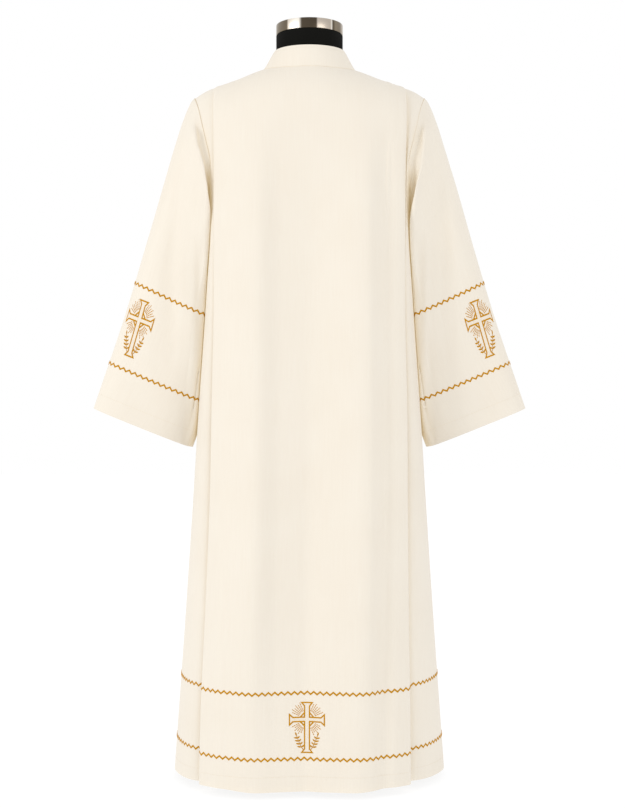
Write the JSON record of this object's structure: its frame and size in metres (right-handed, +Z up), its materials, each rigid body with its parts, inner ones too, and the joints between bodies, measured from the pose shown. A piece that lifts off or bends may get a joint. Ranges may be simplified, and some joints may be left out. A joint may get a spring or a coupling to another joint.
{
  "type": "alb on dress form",
  "caption": "Long wide-sleeved white alb with a stand collar and deep pleats front and back, worn open-hemmed on a limbless dress form with a pole and a round foot.",
  "frame": {"origin": "on the floor, under the middle of the form's round foot", "axes": "+Z up, -Y the way the garment's back faces, +Y the way the wearer faces, +X to the right when the back is looked at"},
  "size_m": [0.8674, 0.3816, 1.4945],
  "materials": {
    "alb_cloth": "plain-woven cream poly-cotton, matt",
    "form_jersey": "black knitted jersey, matt",
    "form_steel": "brushed round the axis, satin"
  },
  "bodies": {
    "root": {"back": "alb_cloth", "front": "alb_cloth", "front_placket": "alb_cloth", "collar": "alb_cloth", "sleeve_left": "alb_cloth", "sleeve_right": "alb_cloth", "form_torso": "form_jersey", "form_neck_cap": "form_steel", "form_pole": "form_steel", "form_base": "form_steel"}
  },
  "joints": []
}
